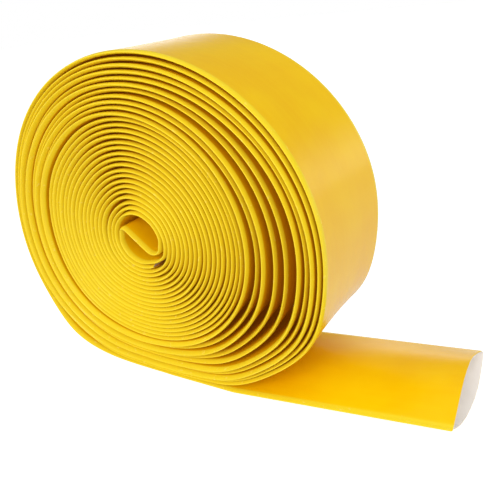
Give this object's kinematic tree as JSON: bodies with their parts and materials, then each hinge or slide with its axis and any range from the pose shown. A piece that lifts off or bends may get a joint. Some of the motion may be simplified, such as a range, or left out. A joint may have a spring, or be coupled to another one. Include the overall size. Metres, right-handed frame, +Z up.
{
  "type": "rolled fire hose",
  "caption": "Lay-flat fire hose wound edge-up into a loose round coil, its outer end run out flat along the floor to an open mouth.",
  "frame": {"origin": "on the floor below the coil, in the middle of the hose's width", "axes": "+X along the tail towards the mouth, +Y along the coil's axis, +Z up"},
  "size_m": [0.3808, 0.105, 0.2669],
  "materials": {
    "cover": "smooth satin yellow extruded cover with the weave faintly showing through",
    "jacket": "circular-woven undyed polyester yarn",
    "lining": "pale smooth lining, slightly ribbed by the weave behind it"
  },
  "bodies": {
    "floor_run": {"floor_run_cover": "cover", "floor_run_jacket": "jacket", "floor_run_lining": "lining"},
    "wrap_1": {"wrap_1_cover": "cover", "wrap_1_jacket": "jacket", "wrap_1_lining": "lining"},
    "wrap_2": {"wrap_2_cover": "cover", "wrap_2_jacket": "jacket", "wrap_2_lining": "lining"},
    "wrap_3": {"wrap_3_cover": "cover", "wrap_3_jacket": "jacket", "wrap_3_lining": "lining"},
    "wrap_4": {"wrap_4_cover": "cover", "wrap_4_jacket": "jacket", "wrap_4_lining": "lining"},
    "wrap_5": {"wrap_5_cover": "cover", "wrap_5_jacket": "jacket", "wrap_5_lining": "lining"},
    "coil": {"coil_cover": "cover", "coil_jacket": "jacket", "coil_lining": "lining"},
    "tail_1": {"tail_1_cover": "cover", "tail_1_jacket": "jacket", "tail_1_lining": "lining"},
    "tail_2": {"tail_2_cover": "cover", "tail_2_jacket": "jacket", "tail_2_lining": "lining"},
    "mouth": {"mouth_cover": "cover", "mouth_jacket": "jacket", "mouth_lining": "lining"}
  },
  "joints": [
    {"name": "unroll_1", "type": "hinge", "parent": "floor_run", "child": "wrap_1", "pos_m": [-0.04683, 0, 0.00014], "axis": [0, -1, 0], "range_deg": [0, 11.54]},
    {"name": "unroll_2", "type": "hinge", "parent": "wrap_1", "child": "wrap_2", "pos_m": [-0.08301, 0, 0.0076], "axis": [0, -1, 0], "range_deg": [0, 20.22]},
    {"name": "unroll_3", "type": "hinge", "parent": "wrap_2", "child": "wrap_3", "pos_m": [-0.11524, 0, 0.02763], "axis": [0, -1, 0], "range_deg": [0, 19.26]},
    {"name": "unroll_4", "type": "hinge", "parent": "wrap_3", "child": "wrap_4", "pos_m": [-0.13934, 0, 0.05753], "axis": [0, -1, 0], "range_deg": [0, 21.35]},
    {"name": "unroll_5", "type": "hinge", "parent": "wrap_4", "child": "wrap_5", "pos_m": [-0.15084, 0, 0.09396], "axis": [0, -1, 0], "range_deg": [0, 17.54]},
    {"name": "unroll_6", "type": "hinge", "parent": "wrap_5", "child": "coil", "pos_m": [-0.15082, 0, 0.13116], "axis": [0, -1, 0], "range_deg": [0, 13.24]},
    {"name": "tail_lift_1", "type": "hinge", "parent": "floor_run", "child": "tail_1", "pos_m": [0.056, 0, 0.0028], "axis": [0, -1, 0], "range_deg": [0, 16]},
    {"name": "tail_lift_2", "type": "hinge", "parent": "tail_1", "child": "tail_2", "pos_m": [0.1, 0, 0.01014], "axis": [0, -1, 0], "range_deg": [0, 16]},
    {"name": "tail_lift_3", "type": "hinge", "parent": "tail_2", "child": "mouth", "pos_m": [0.145, 0, 0.0184], "axis": [0, -1, 0], "range_deg": [0, 16]}
  ]
}
